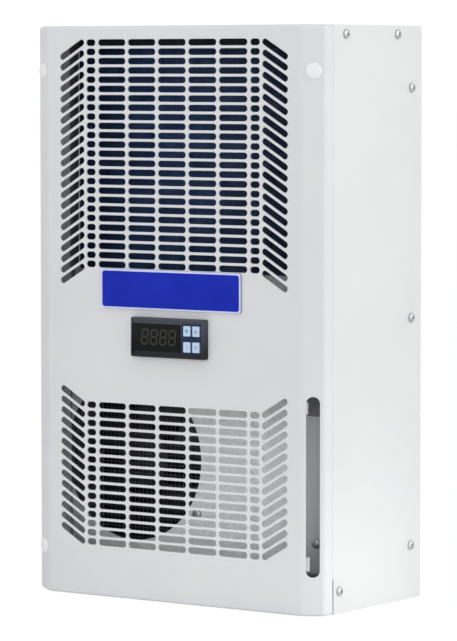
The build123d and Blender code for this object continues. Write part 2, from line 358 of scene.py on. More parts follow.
keyBlue = surface("keyBlue", {
    "dark": tone(182, 204, 230), "light": tone(198, 217, 238), "cloud": 160.0,
    "grain": 1400.0, "bump": 0.05, "rough": (0.36, 0.48), "specular": 0.35})
keyMark = surface("keyMark", {
    "dark": tone(124, 156, 200), "light": tone(140, 170, 210), "cloud": 160.0,
    "grain": 1400.0, "bump": 0.02, "rough": (0.35, 0.45)})
whitePlastic = surface("whitePlastic", {
    "dark": tone(230, 231, 232), "light": tone(235, 235, 236), "cloud": 90.0,
    "grain": 1200.0, "bump": 0.04, "rough": (0.3, 0.42), "specular": 0.4})
screwZinc = surface("screwZinc", {
    "dark": tone(168, 169, 172), "light": tone(194, 195, 197), "cloud": 350.0,
    "grain": 1200.0, "bump": 0.05, "rough": (0.25, 0.38), "metal": 0.55})
screwGrey = surface("screwGrey", {
    "dark": tone(146, 147, 150), "light": tone(176, 177, 180), "cloud": 350.0,
    "grain": 1200.0, "bump": 0.05, "rough": (0.2, 0.3), "metal": 0.6})
print("finishes ready")

# plain sheets and blocks that stay as they come; the partition is made near black as painted shade
carried = {"top_panel": sidePaint, "bottom_panel": sidePaint, "back_plate": sidePaint,
           "condenser_left_end": galvanised, "condenser_right_end": galvanised, "partition": shadeBlack,
           "fan_bracket": fanBlack, "controller_body": fanBlack}
for name, finish in carried.items():
    nodes[name].data.materials.clear()
    nodes[name].data.materials.append(finish)


# the front cover is punched flat, rolled over at top and bottom, then bent
cover = {
    "height": 500.0, "depth": 22.4, "sheet": 1.5, "flat": 134.6, "half": 152.0, "run": 17.4, "drop": 10.6,
    "bendFront": 12.0, "bendSide": 5.0, "bendTop": 3.0, "bendBottom": 2.5, "edge": 0.25,
    "frontSteps": 6, "sideSteps": 8, "rollSteps": 5, "lap": 0.2, "cornerRun": 12.0, "cornerRise": 3.0,
    "slotLength": 29.6, "slotWidth": 5.7, "shortLength": 9.8, "rowPitch": 8.05, "columnPitch": 32.2,
    "columns": 5, "shortPlace": 87.1, "slantPlace": 107.6, "slantAngle": 30.5,
    "upperRows": 25, "upperFirst": 485.5, "lowerRows": 16, "lowerFirst": 168.475, "lowerRise": 0.8,
    "airSlotWidth": 11.8, "airSlot": (32.9, 186.5), "cutOut": (-0.8, 230.8, 71.6, 29.4),
}
bendAngle = math.atan2(cover["drop"], cover["run"])
stripLength = math.hypot(cover["drop"], cover["run"])
tangentFront = cover["bendFront"] * math.tan(bendAngle / 2)
tangentSide = cover["bendSide"] * math.tan((math.pi / 2 - bendAngle) / 2)
bendStart = cover["flat"] - tangentFront  # distances along the outer face of the sheet
stripStart = bendStart + cover["bendFront"] * bendAngle
stripEnd = stripStart + stripLength - tangentFront - tangentSide
flangeStart = stripEnd + cover["bendSide"] * (math.pi / 2 - bendAngle)
sheetEnd = flangeStart + cover["depth"] - cover["drop"] - tangentSide
bendCuts = []
for start, end, steps in ((bendStart, stripStart, cover["frontSteps"]),
                          (stripEnd, flangeStart, cover["sideSteps"])):
    bendCuts += [start + (end - start) * i / steps for i in range(steps + 1)]


def bentPlace(s, inset):
    # where a point of the flat sheet goes once its sides are bent: across and back
    c, n = math.cos(bendAngle), math.sin(bendAngle)
    front, side = cover["bendFront"], cover["bendSide"]
    a = abs(s)
    if a <= bendStart:
        x, y = a, inset
    elif a <= stripStart:
        t = (a - bendStart) / front
        x, y = bendStart + (front - inset) * math.sin(t), front - (front - inset) * math.cos(t)
    else:
        x0, y0 = bendStart + front * n, front - front * c
        reach = min(a, stripEnd) - stripStart
        x, y = x0 + reach * c - inset * n, y0 + reach * n + inset * c
        if a > stripEnd:
            x1, y1 = x0 + reach * c - side * n, y0 + reach * n + side * c
            t = bendAngle + (min(a, flangeStart) - stripEnd) / side
            x, y = x1 + (side - inset) * math.sin(t), y1 - (side - inset) * math.cos(t)
            y += max(0.0, a - flangeStart)
    return math.copysign(x, s), y


def rolledPlace(z, inset):
    # the same for the rolled top and bottom edges: height and depth into the sheet
    upper, lower = cover["bendTop"], cover["bendBottom"]
    start = cover["height"] - upper
    if z > start:
        t = (z - start) / upper
        return start + (upper - inset) * math.sin(t), upper - (upper - inset) * math.cos(t)
    if z < lower:
        t = (lower - z) / lower
        return lower - (lower - inset) * math.sin(t), lower - (lower - inset) * math.cos(t)
    return z, inset


def cornerLift(x, z):
    # the lower left corner is drawn up a little
    run, rise = cover["cornerRun"], cover["cornerRise"]
    reach = min(-x - cover["half"] + run, run)
    if reach <= 0 or z >= run:
        return z
    return z + rise * (1 - math.sqrt(1 - (reach / run) ** 2)) * (1 - z / run)


def grilleSlots(curve, rows, first, fall, rise=0.0):
    slant = math.radians(cover["slantAngle"])
    pitch = cover["rowPitch"] / math.cos(slant)
    lean = (cover["slotLength"] - cover["slotWidth"]) / 2 * math.sin(slant)
    for row in range(rows):
        z = first - row * cover["rowPitch"]
        for column in range(cover["columns"]):
            x = (column - (cover["columns"] - 1) / 2) * cover["columnPitch"]
            slotOutline(curve, Matrix.Translation((x, z, 0)), cover["slotLength"], cover["slotWidth"])
        for side in (-1, 1):
            place = Matrix.Translation((side * cover["shortPlace"], z, 0))
            slotOutline(curve, place, cover["shortLength"], cover["slotWidth"])
    # as many slanted slots a side as fit beside the rows
    for row in range(round((rows - 1) * cover["rowPitch"] / pitch) + 1):
        z = first + rise - row * pitch - fall * lean
        for side in (-1, 1):
            place = Matrix.Translation((side * cover["slantPlace"], z, 0))
            place = place @ Matrix.Rotation(-side * fall * slant, 4, "Z")
            slotOutline(curve, place, cover["slotLength"], cover["slotWidth"])


def coverSheet():
    curve = bpy.data.curves.new("coverFlat", "CURVE")
    top = cover["height"] + cover["bendTop"] * (math.pi / 2 - 1)
    bottom = -cover["bendBottom"] * (math.pi / 2 - 1)
    boxOutline(curve, -sheetEnd, sheetEnd, bottom, top)
    grilleSlots(curve, cover["upperRows"], cover["upperFirst"], 1)
    grilleSlots(curve, cover["lowerRows"], cover["lowerFirst"], -1, cover["lowerRise"])
    low, high = cover["airSlot"]
    middle = stripStart + stripLength / 2 - tangentFront
    place = Matrix.Translation((middle, (low + high) / 2, 0)) @ Matrix.Rotation(math.pi / 2, 4, "Z")
    slotOutline(curve, place, high - low, cover["airSlotWidth"], steps=14)
    x, z, w, h = cover["cutOut"]
    boxOutline(curve, x - w / 2, x + w / 2, z - h / 2, z + h / 2)
    return sheetFromCurve(curve, cover["sheet"], cover["edge"])


def edgePlate(bm, low, high, inset):
    # top or bottom of the tray, from the rolled edge to the back of the cover
    ways = [-sheetEnd, *[-cut for cut in reversed(bendCuts)], *bendCuts, sheetEnd]
    ring = []
    for s in ways:
        x, y = bentPlace(s, inset)
        ring.append(bm.verts.new((x, frontFace + y, cornerLift(x, low))))
    made = newVerts(bmesh.ops.extrude_face_region(bm, geom=[bm.faces.new(ring)]))
    bmesh.ops.translate(bm, vec=(0, 0, high - low), verts=made)
    bmesh.ops.recalc_face_normals(bm, faces=list({f for v in ring + made for f in v.link_faces}))


def frontCover():
    bm = coverSheet()
    turns = [1 - math.pi / 2 * i / cover["rollSteps"] for i in range(cover["rollSteps"])]
    levels = [cover["height"] - cover["bendTop"] * turn for turn in turns]
    levels += [cover["bendBottom"] * turn for turn in turns] + [cover["cornerRun"]]
    planes = [((side * cut, 0, 0), (1, 0, 0)) for cut in bendCuts for side in (-1, 1)]
    planes += [((0, level, 0), (0, 1, 0)) for level in levels]
    for spot, normal in planes:
        bmesh.ops.bisect_plane(bm, geom=bm.verts[:] + bm.edges[:] + bm.faces[:], dist=1e-5,
                               plane_co=spot, plane_no=normal)
    for vert in bm.verts:
        s, z, level = vert.co
        z, inset = rolledPlace(z, cover["sheet"] / 2 - level)
        x, y = bentPlace(s, inset)
        vert.co = (x, frontFace + y, cornerLift(x, z))
    top, sheet, lap = cover["height"], cover["sheet"], cover["lap"]
    edgePlate(bm, 0.0, sheet, cover["bendBottom"] - lap)
    edgePlate(bm, top - sheet, top, cover["bendTop"] - lap)
    finishPiece("frontCover", bm, [greyPaint], ["front_cover"], sharp=38)


frontCover()
print("front cover punched and bent")


# side panels, with a short relief at the foot of the seam
panel = {"outer": cover["half"], "sheet": 1.5, "front": -55.5, "back": 84.0, "height": cover["height"],
         "relief": 1.7, "reliefTop": 30.0, "edge": 0.35}


def sidePanel(name, side, node):
    bm = bmesh.new()
    y0, y1, relief = panel["front"], panel["back"], panel["relief"]
    outline = [(y0 + relief, 0), (y1, 0), (y1, panel["height"]), (y0, panel["height"]),
               (y0, panel["reliefTop"]), (y0 + relief, panel["reliefTop"])]
    face = bm.faces.new([bm.verts.new((side * panel["outer"], y, z)) for y, z in outline])
    made = newVerts(bmesh.ops.extrude_face_region(bm, geom=[face]))
    bmesh.ops.translate(bm, vec=(-side * panel["sheet"], 0, 0), verts=made)
    bmesh.ops.recalc_face_normals(bm, faces=bm.faces)
    bevelEdges(bm, bm.edges[:], panel["edge"], segments=2)
    finishPiece(name, bm, [sidePaint], [node])


sidePanel("sidePanelRight", 1, "right_side_panel")
sidePanel("sidePanelLeft", -1, "left_side_panel")

# thin dark sheets inside the panels beside condenser and fan, and on the top panel's folded edges, as
# painted shade;
# each strip is (outer face, front, low, high)
shadeSheets = {"back": 21.5, "thick": 0.2,
          "strips": [(150.5, -24.0, 16.5, 285.0), (150.5, -25.5, 285.0, 483.5),
                     (148.7, -25.5, 484.0, 498.3)]}


def panelShadeSheets(name, side):
    bm = bmesh.new()
    for outer, front, low, high in shadeSheets["strips"]:
        across = sorted((side * outer, side * (outer - shadeSheets["thick"])))
        addBlock(bm, (across[0], front, low), (across[1], shadeSheets["back"], high))
    finishPiece(name, bm, [paintedShadeSheet])


panelShadeSheets("shadeSheetsRight", 1)
panelShadeSheets("shadeSheetsLeft", -1)
print("side panels bevelled and lined")


# pan-head screws with a cross recess; the dome is (radius, height) as shares, from the recess outwards
screw = {"radius": 4.2, "height": 2.3, "dome": [(0.72, 0.93), (0.93, 0.7), (1.0, 0.4), (1.0, 0.0)],
         "crossLong": 1.9, "crossWide": 0.55, "crossDeep": 1.0, "crossTaper": 0.7,
         "sides": [(41.4, 492.3), (122.6, 492.5), (145.6, 446.5), (145.6, 246.3), (145.6, 46.9),
                   (32.6, 19.0)],
         "firstTurn": 0.4, "turnStep": 0.7}


def addScrew(bm, place, scale=1.0):
    r, h = screw["radius"] * scale, screw["height"] * scale
    a, b = screw["crossLong"] * scale, screw["crossWide"] * scale
    cross = [(a, -b), (a, b), (b, b), (b, a), (-b, a), (-b, b), (-a, b), (-a, -b),
             (-b, -b), (-b, -a), (b, -a), (b, -b)]
    ring = [bm.verts.new((x, y, h)) for x, y in cross]
    pit = bm.faces.new(ring)
    turns = [math.atan2(y, x) for x, y in cross]
    loops = []
    for out, level in screw["dome"]:
        circle = [(r * out * math.cos(t), r * out * math.sin(t), h * level) for t in turns]
        loops.append([bm.verts.new(spot) for spot in circle])
    rim = loops[0]
    edges = [bm.edges.new((rim[i - 1], rim[i])) for i in range(len(rim))]
    bmesh.ops.bridge_loops(bm, edges=list(pit.edges) + edges)
    for inner, outer in zip(loops, loops[1:]):
        for i in range(len(rim)):
            bm.faces.new((inner[i - 1], inner[i], outer[i], outer[i - 1]))
    floor = newVerts(bmesh.ops.extrude_face_region(bm, geom=[pit]))
    bmesh.ops.translate(bm, vec=(0, 0, -screw["crossDeep"] * scale), verts=floor)
    bmesh.ops.scale(bm, vec=(screw["crossTaper"], screw["crossTaper"], 1), verts=floor)
    if pit.is_valid:
        bm.faces.remove(pit)
    whole = {v for loop in loops for v in loop} | set(ring) | set(floor)
    bmesh.ops.recalc_face_normals(bm, faces=list({f for v in whole for f in v.link_faces}))
    bmesh.ops.transform(bm, matrix=place, verts=list(whole))


def sideScrews(name, side):
    bm = bmesh.new()
    for i, (back, z) in enumerate(screw["sides"]):
        spot = Matrix.Translation((side * panel["outer"], frontFace + back, z))
        turn = Matrix.Rotation(screw["firstTurn"] + i * screw["turnStep"], 4, "Z")
        addScrew(bm, spot @ Matrix.Rotation(side * math.pi / 2, 4, "Y") @ turn)
    finishPiece(name, bm, [screwZinc])


sideScrews("screwsRight", 1)
sideScrews("screwsLeft", -1)
print("side screws set")


# plug caps on the chamfers; the profile is (radius, height) as shares, from the middle outwards
cap = {"radius": 7.0, "height": 2.3, "sunk": 0.4, "steps": 28, "upper": 461.0, "lower": 40.0,
       "profile": [(0.0, 1.0), (0.3, 0.985), (0.58, 0.9), (0.8, 0.73), (0.94, 0.48), (0.99, 0.3),
                   (1.0, 0.18)]}


def plugCap(name, side, z, node):
    bm = bmesh.new()
    profile = [(r * cap["radius"], h * cap["height"]) for r, h in cap["profile"]]
    turnProfile(bm, profile + [(cap["radius"], -cap["sunk"])], cap["steps"])
    out = Vector((side * cover["drop"], -cover["run"], 0)).normalized()
    turn = out.to_track_quat("Z", "Y").to_matrix().to_4x4()
    middle = (side * (cover["half"] - cover["run"] / 2), frontFace + cover["drop"] / 2, z)
    bmesh.ops.transform(bm, matrix=Matrix.Translation(middle) @ turn, verts=bm.verts)
    finishPiece(name, bm, [whitePlastic], [node], sharp=60)


plugCap("capRightUpper", 1, cap["upper"], "cap_right_upper")
plugCap("capLeftUpper", -1, cap["upper"], "cap_left_upper")
plugCap("capLeftLower", -1, cap["lower"], "cap_left_lower")
print("caps on")


# nameplate: pale border with a rounded edge whose side faces are painted darker as shade, blank blue field
badge = {"x": -0.6, "wide": 148.6, "tall": 34.4, "thick": 1.9, "middle": 271.6, "corner": 2.6, "lip": 0.7,
         "margin": 1.6, "fieldThick": 0.4, "fieldCorner": 2.4, "fieldLip": 0.2,
         "edgeTilt": 0.3}  # faces that look less to the front than this are the edge


def nameplate():
    x, w, h, m = badge["x"], badge["wide"] / 2, badge["tall"] / 2, badge["margin"]
    front = frontFace - badge["thick"]
    bm = bmesh.new()
    addTablet(bm, (x - w, front, badge["middle"] - h), (x + w, frontFace, badge["middle"] + h),
              badge["corner"], badge["lip"])
    for face in bm.faces:
        # side faces take the second finish, the painted shade
        face.material_index = 1 if abs(face.normal.y) < badge["edgeTilt"] else 0
    finishPiece("nameplate", bm, [plateSilver, plateEdgeShade], ["nameplate"])
    bm = bmesh.new()
    addTablet(bm, (x - w + m, front - badge["fieldThick"], badge["middle"] - h + m),
              (x + w - m, front, badge["middle"] + h - m), badge["fieldCorner"], badge["fieldLip"])
    finishPiece("nameplateField", bm, [plateBlue], ["nameplate_field"])


nameplate()
print("nameplate fixed")


# temperature controller: black bezel with a recessed face, and a navy field for the keys let into it
control = {"x": cover["cutOut"][0], "z": cover["cutOut"][1], "wide": 78.8, "tall": 34.5, "proud": 6.0,
           "rim": 2.0, "recess": 1.2,
           "corner": 1.6, "lip": 1.4, "faceThick": 0.8, "faceEdge": 0.08, "lap": 0.3,
           "keyArea": (13.8, 34.8, 217.5, 244.1), "keyAreaCorner": 1.5, "keyAreaSunk": 0.15,
           "keyAreaEdge": 0.1, "pocketFloor": -1.0, "pocketFront": -0.2, "pocketMargin": 1.0}
keys = {"wide": 7.4, "tall": 9.0, "thick": 2.6, "corner": 0.7, "lip": 0.45, "gap": 0.35, "gapCorner": 0.8,
        "stand": 0.9, "pitchX": 9.6, "pitchZ": 13.9, "column": 25.4,
        "mark": 1.5, "markProud": 0.02, "markThick": 0.1}
keySpots = {"key_upper_left": (-0.5, 0.5), "key_upper_right": (0.5, 0.5),  # in pitches
            "key_lower_left": (-0.5, -0.5), "key_lower_right": (0.5, -0.5)}
keySigns = {"key_upper_left": [(-1, -1), (1, -1), (1, 1), (-1, 1)],  # in mark sizes
            "key_upper_right": [(-1.1, -0.9), (1.1, -0.9), (0, 1.1)],
            "key_lower_left": [(-0.35, -1.2), (0.35, -1.2), (0.35, 1.2), (-0.35, 1.2)],
            "key_lower_right": [(-1.1, 0.9), (1.1, 0.9), (0, -1.1)]}
recessDepth = control["recess"] - control["proud"]  # the recessed face, from the cover's face


def keyPlace(name):
    across, up = keySpots[name]
    x = control["x"] + keys["column"] + across * keys["pitchX"]
    return x, control["z"] + up * keys["pitchZ"]


def controllerBezel():
    x, z, w, h = control["x"], control["z"], control["wide"] / 2, control["tall"] / 2
    bm = bmesh.new()
    addTablet(bm, (x - w, frontFace - control["proud"], z - h), (x + w, frontFace, z + h),
              control["corner"], control["lip"])
    front = frontOf(bm)
    bmesh.ops.inset_region(bm, faces=[front], thickness=control["rim"] - control["lip"],
                           use_even_offset=True)
    bmesh.ops.delete(bm, geom=[front], context="FACES_ONLY")
    well = [e for e in bm.edges if e.is_boundary]
    made = newVerts(bmesh.ops.extrude_edge_only(bm, edges=well))
    bmesh.ops.translate(bm, vec=(0, control["recess"], 0), verts=made)
    # recessed face
    x0, x1, z0, z1 = control["keyArea"]
    lap, thick = control["lap"], control["faceThick"]
    inset = control["rim"] - lap
    curve = bpy.data.curves.new("bezelFace", "CURVE")
    boxOutline(curve, x - w + inset, x + w - inset, z - h + inset, z + h - inset)
    boxOutline(curve, x0, x1, z0, z1, control["keyAreaCorner"])
    plate = sheetFromCurve(curve, thick, control["faceEdge"])
    standUp(plate, recessDepth, thick)
    joinInto(bm, plate, 0)
    # navy key area with its openings, and the pocket behind it
    curve = bpy.data.curves.new("keyFace", "CURVE")
    boxOutline(curve, x0 - lap, x1 + lap, z0 - lap, z1 + lap, control["keyAreaCorner"])
    a, b = keys["wide"] / 2 + keys["gap"], keys["tall"] / 2 + keys["gap"]
    for name in keySpots:
        kx, kz = keyPlace(name)
        boxOutline(curve, kx - a, kx + a, kz - b, kz + b, keys["gapCorner"])
    plate = sheetFromCurve(curve, thick, control["keyAreaEdge"])
    standUp(plate, recessDepth + control["keyAreaSunk"], thick)
    joinInto(bm, plate, 1)
    m = control["pocketMargin"]
    addBlock(bm, (x0 - m, frontFace + control["pocketFloor"], z0 - m),
             (x1 + m, frontFace + control["pocketFront"], z1 + m), index=1)
    finishPiece("controllerBezel", bm, [blackPlastic, keyNavy], ["controller_bezel"])


# dark window with unlit digits
window = {"x": (-38.2, 12.8), "z": (218.8, 242.8), "thick": 0.7, "corner": 0.8, "lip": 0.15}
digits = {"count": 4, "first": -24.7, "pitch": 9.7, "wide": 6.2, "tall": 12.4, "bar": 1.7, "lean": 0.09,
          "middle": 231.3, "thick": 0.04, "sunk": 0.01, "gap": 0.15}


def addStroke(bm, start, end, y):
    # one bar of a digit, pointed at both ends
    along = Vector((end[0] - start[0], 0, end[1] - start[1]))
    length = along.length
    along.normalize()
    half = digits["bar"] / 2
    across = Vector((-along.z, 0, along.x)) * half
    spot = Vector((start[0], y, start[1]))
    tips = [(0, 0), (half, 1), (length - half, 1), (length, 0), (length - half, -1), (half, -1)]
    ring = [bm.verts.new(spot + along * t + across * side) for t, side in tips]
    made = newVerts(bmesh.ops.extrude_face_region(bm, geom=[bm.faces.new(ring)]))
    bmesh.ops.translate(bm, vec=(0, -digits["thick"], 0), verts=made)


def controllerWindow():
    (x0, x1), (z0, z1) = window["x"], window["z"]
    back = frontFace + recessDepth
    front = back - window["thick"]
    bm = bmesh.new()
    addTablet(bm, (x0, front, z0), (x1, back, z1), window["corner"], window["lip"])
    finishPiece("controllerWindow", bm, [darkLens], ["controller_window"])
    bm = bmesh.new()
    w, h = digits["wide"] / 2, digits["tall"] / 2
    bars = [(-w, h, w, h), (-w, 0, w, 0), (-w, -h, w, -h), (-w, 0, -w, h), (w, 0, w, h),
            (-w, -h, -w, 0), (w, -h, w, 0)]
    for i in range(digits["count"]):
        middle = Vector((digits["first"] + i * digits["pitch"], digits["middle"]))
        for ax, az, bx, bz in bars:
            a, b = Vector((ax + az * digits["lean"], az)), Vector((bx + bz * digits["lean"], bz))
            trim = (b - a).normalized() * digits["gap"]
            addStroke(bm, middle + a + trim, middle + b - trim, front + digits["sunk"])
    bmesh.ops.recalc_face_normals(bm, faces=bm.faces)
    finishPiece("windowDigits", bm, [digitGhost])


def pressKey(name):
    x, z = keyPlace(name)
    start = frontFace + recessDepth - keys["stand"]
    w, h, m = keys["wide"] / 2, keys["tall"] / 2, keys["mark"]
    bm = bmesh.new()
    addTablet(bm, (x - w, start, z - h), (x + w, start + keys["thick"], z + h), keys["corner"], keys["lip"])
    known = set(bm.faces)
    ring = [bm.verts.new((x + px * m, start - keys["markProud"], z + pz * m)) for px, pz in keySigns[name]]
    made = newVerts(bmesh.ops.extrude_face_region(bm, geom=[bm.faces.new(ring)]))
    bmesh.ops.translate(bm, vec=(0, keys["markThick"], 0), verts=made)
    marks = [f for f in bm.faces if f not in known]
    bmesh.ops.recalc_face_normals(bm, faces=marks)
    for face in marks:
        face.material_index = 1
    pieceName = "key" + name[3:].title().replace("_", "")
    finishPiece(pieceName, bm, [keyBlue, keyMark], [name], body=name)


controllerBezel()
controllerWindow()
for name in keySpots:
    pressKey(name)
print("controller and keys in")


# fan plate: the round opening breaks its left edge, the top edge is a shelf with a lip, short on the right
fan = {"x": -80.1, "z": 118.6, "radius": 74.2, "plateDepth": 52.0, "plateTop": 196.0, "clear": 148.4,
       "sheet": 1.5, "edge": 0.15, "shelf": 24.0, "shelfEdge": 0.2, "lap": 0.2, "lip": 19.0, "short": 30.0,
       "steps": 72, "screws": [(116.0, 55.1), (-10.3, 72.0)], "screwScale": 1.1, "screwTurn": 0.8}
plateFront = frontFace + fan["plateDepth"]


def fanPlate():
    left, top, t = -fan["clear"], fan["plateTop"], fan["sheet"]
    cut = math.acos((left - fan["x"]) / fan["radius"])  # where the circle meets the left edge
    outline = [(left, t), (-left, t), (-left, top), (left, top)]
    for i in range(fan["steps"] + 1):
        turn = cut - 2 * cut * i / fan["steps"]
        x, z = fan["radius"] * math.cos(turn), fan["radius"] * math.sin(turn)
        outline.append((fan["x"] + x, fan["z"] + z))
    curve = bpy.data.curves.new("fanPlateFlat", "CURVE")
    straightOutline(curve, outline)
    bm = sheetFromCurve(curve, t, fan["edge"])
    standUp(bm, fan["plateDepth"], t)
    y0, y1 = plateFront - fan["shelf"], plateFront + fan["lap"]
    section = [(y1, top - t), (y1, top), (y0, top), (y0, top - fan["lip"]),
               (y0 + t, top - fan["lip"]), (y0 + t, top - t)]
    shelf = bmesh.new()
    side = shelf.faces.new([shelf.verts.new((left, y, z)) for y, z in section])
    made = newVerts(bmesh.ops.extrude_face_region(shelf, geom=[side]))
    bmesh.ops.translate(shelf, vec=(2 * fan["clear"] - fan["short"], 0, 0), verts=made)
    bmesh.ops.recalc_face_normals(shelf, faces=shelf.faces)
    bevelEdges(shelf, shelf.edges[:], fan["shelfEdge"], segments=1)
    joinInto(bm, shelf, 0)
    finishPiece("fanPlate", bm, [galvanised], ["fan_plate"])


def fanPlateScrews():
    bm = bmesh.new()
    for i, (x, z) in enumerate(fan["screws"]):
        spot = Matrix.Translation((x, plateFront, z)) @ Matrix.Rotation(math.pi / 2, 4, "X")
        addScrew(bm, spot @ Matrix.Rotation(i * fan["screwTurn"], 4, "Z"), fan["screwScale"])
    finishPiece("fanPlateScrews", bm, [screwGrey])


fanPlate()
fanPlateScrews()

# baffle behind the air slot: a grey sheet with dark bands at its top and foot, painted shadow under the
# shelf and painted shade at the foot;
# each band is (low, high, thickness, finish), reach is how far it runs left past the shelf's end
baffle = {"bands": [(1.6, 29.0, 1.5, 1), (29.0, 165.0, 0.4, 0), (165.0, 196.0, 1.5, 1)],
          "reach": 24.0, "gap": 0.5}


def slotBaffle():
    bm = bmesh.new()
    left, right = fan["clear"] - fan["short"] - baffle["reach"], fan["clear"] - baffle["gap"]
    for low, high, thick, index in baffle["bands"]:
        addBlock(bm, (left, plateFront - thick, low), (right, plateFront, high), index)
    finishPiece("slotBaffle", bm, [baffleGrey, paintedShadeSheet])


slotBaffle()

# upright sheet under the condenser, seen through the grille's lowest slots
divider = {"half": 150.1, "depth": 59.5, "low": 197.0, "high": 284.6, "sheet": 1.5}


def crossSheet():
    bm = bmesh.new()
    front = frontFace + divider["depth"]
    addBlock(bm, (-divider["half"], front, divider["low"]),
             (divider["half"], front + divider["sheet"], divider["high"]))
    finishPiece("crossSheet", bm, [galvanised])


crossSheet()

# two clips behind the left edge of the air slot, each (low, high, how far it shows)
clips = {"spans": [(38.2, 50.0, 3.2), (171.4, 181.8, 1.6)], "root": 3.0, "back": -3.0, "gap": 0.05}


def slotClips():
    along = Vector((cover["run"], cover["drop"], 0)).normalized()
    out = Vector((cover["drop"], -cover["run"], 0)).normalized()
    place = Matrix((along, out, (0, 0, 1))).transposed().to_4x4()
    place.translation = (cover["half"] - cover["run"] / 2, frontFace + cover["drop"] / 2, 0)
    bm = bmesh.new()
    edge = -cover["airSlotWidth"] / 2
    for low, high, reach in clips["spans"]:
        addBlock(bm, (edge - clips["root"], clips["back"], low),
                 (edge + reach, -cover["sheet"] - clips["gap"], high))
    bmesh.ops.transform(bm, matrix=place, verts=bm.verts)
    finishPiece("slotClips", bm, [baffleGrey])


slotClips()

# black mesh across the opening: upright wires with level ones behind them
wires = {"left": -148.4, "right": -3.9, "low": 42.4, "high": 194.8, "start": 53.5,
         "pitch": 4.4, "wire": 0.5}


def fanMesh():
    bm = bmesh.new()
    wire, y = wires["wire"], frontFace + wires["start"]
    count = int((wires["right"] - wires["left"]) / wires["pitch"])
    for i in range(count + 1):
        x = wires["right"] - wire - i * wires["pitch"]
        addBlock(bm, (x, y, wires["low"]), (x + wire, y + wire, wires["high"]))
    count = int((wires["high"] - wires["low"]) / wires["pitch"])
    for i in range(count + 1):
        z = wires["low"] + i * wires["pitch"]
        addBlock(bm, (wires["left"], y + wire, z), (wires["right"], y + 2 * wire, z + wire))
    finishPiece("fanMesh", bm, [wireBlack], ["fan_mesh"])


fanMesh()

# fan behind the mesh: a hub, its profile as shares of radius and length, and swept blades
rotor = {"tip": 63.0, "hub": 29.0, "back": 90.5, "length": 26.0, "hubSteps": 40,
         "hubProfile": [(0, 0), (1, 0), (1, 0.8), (0.93, 0.95), (0.8, 1), (0, 1)],
         "blades": 5, "bladeSteps": 8, "rootSunk": 1.0, "reach": 60.0, "rootReach": 0.75, "pitch": 24.0,
         "tipEase": 0.25, "thick": 1.6, "sweep": 0.35, "camber": 1.5}


def fanBlade(turn):
    blade = bmesh.new()
    bmesh.ops.create_grid(blade, x_segments=rotor["bladeSteps"], y_segments=rotor["bladeSteps"], size=1.0)
    root, length = rotor["hub"] - rotor["rootSunk"], rotor["length"]
    lean = math.sin(math.radians(rotor["pitch"])) * length
    for vert in blade.verts:
        out, across = (vert.co.x + 1) / 2, vert.co.y
        radius = root + (rotor["tip"] - root) * out
        spread = math.radians(rotor["reach"] / 2) * (rotor["rootReach"] + (1 - rotor["rootReach"]) * out)
        angle = across * spread + rotor["sweep"] * out * out  # swept forward to the tip
        rise = across * lean * (1 - rotor["tipEase"] * out)
        rise += length / 2 + rotor["camber"] * (1 - across * across)
        vert.co = (radius * math.cos(angle), radius * math.sin(angle), rise)
    bmesh.ops.recalc_face_normals(blade, faces=blade.faces)
    bmesh.ops.solidify(blade, geom=blade.faces[:], thickness=rotor["thick"])
    bmesh.ops.recalc_face_normals(blade, faces=blade.faces)
    bmesh.ops.rotate(blade, cent=(0, 0, 0), matrix=Matrix.Rotation(turn, 3, "Z"), verts=blade.verts)
    return blade


def fanRotor():
    bm = bmesh.new()
    profile = [(r * rotor["hub"], h * rotor["length"]) for r, h in rotor["hubProfile"]]
    turnProfile(bm, profile, rotor["hubSteps"])
    for i in range(rotor["blades"]):
        joinInto(bm, fanBlade(i * 2 * math.pi / rotor["blades"]), 0)
    spot = Matrix.Translation((fan["x"], frontFace + rotor["back"], fan["z"]))
    bmesh.ops.transform(bm, matrix=spot @ Matrix.Rotation(math.pi / 2, 4, "X"), verts=bm.verts)
    finishPiece("fanRotor", bm, [fanBlack], ["fan_rotor"], sharp=40)


fanRotor()
print("fan, mesh and plate in")


# fin packs with their tubes; first and stagger are shares of the space between two tubes
condenser = {"low": (-137.3, -28.0, 285.0), "high": (137.3, -2.0, 481.0), "pitch": 2.0, "fin": 0.24,
             "tubeRows": (9.0, 19.0)}
evaporator = {"low": (-125.0, 23.5, 48.0), "high": (125.0, 61.5, 228.0), "pitch": 2.5, "fin": 0.3,
              "tubeRows": (10.0, 28.0)}
tubes = {"radius": 4.8, "pitch": 25.0, "first": 0.35, "stagger": 0.3, "sides": 14}


def finPack(name, look, finish, node):
    low, high = look["low"], look["high"]
    bm = bmesh.new()
    span = high[0] - low[0] - look["fin"]
    count = int(span / look["pitch"])
    for i in range(count + 1):
        x = low[0] + i * span / count
        addBlock(bm, (x, low[1], low[2]), (x + look["fin"], high[1], high[2]))
    tall = high[2] - low[2]
    count = int(tall / tubes["pitch"])
    for row, deep in enumerate(look["tubeRows"]):
        for i in range(count):
            z = low[2] + (i + tubes["first"] + tubes["stagger"] * row) * tall / count
            spot = Matrix.Translation(((low[0] + high[0]) / 2, low[1] + deep, z))
            made = bmesh.ops.create_cone(bm, cap_ends=True, segments=tubes["sides"], depth=span,
                                         radius1=tubes["radius"], radius2=tubes["radius"],
                                         matrix=spot @ Matrix.Rotation(math.pi / 2, 4, "Y"))["verts"]
            for face in {f for v in made for f in v.link_faces}:
                face.material_index = 1
    finishPiece(name, bm, [finish, copper], [node])


finPack("condenserFins", condenser, finBlue, "condenser_fins")
finPack("evaporatorFins", evaporator, finBare, "evaporator_fins")

# foam strip on top of the condenser, behind the first row of slots
seal = {"half": 137.0, "front": -27.6, "back": -18.0, "low": 481.2, "high": 498.2}


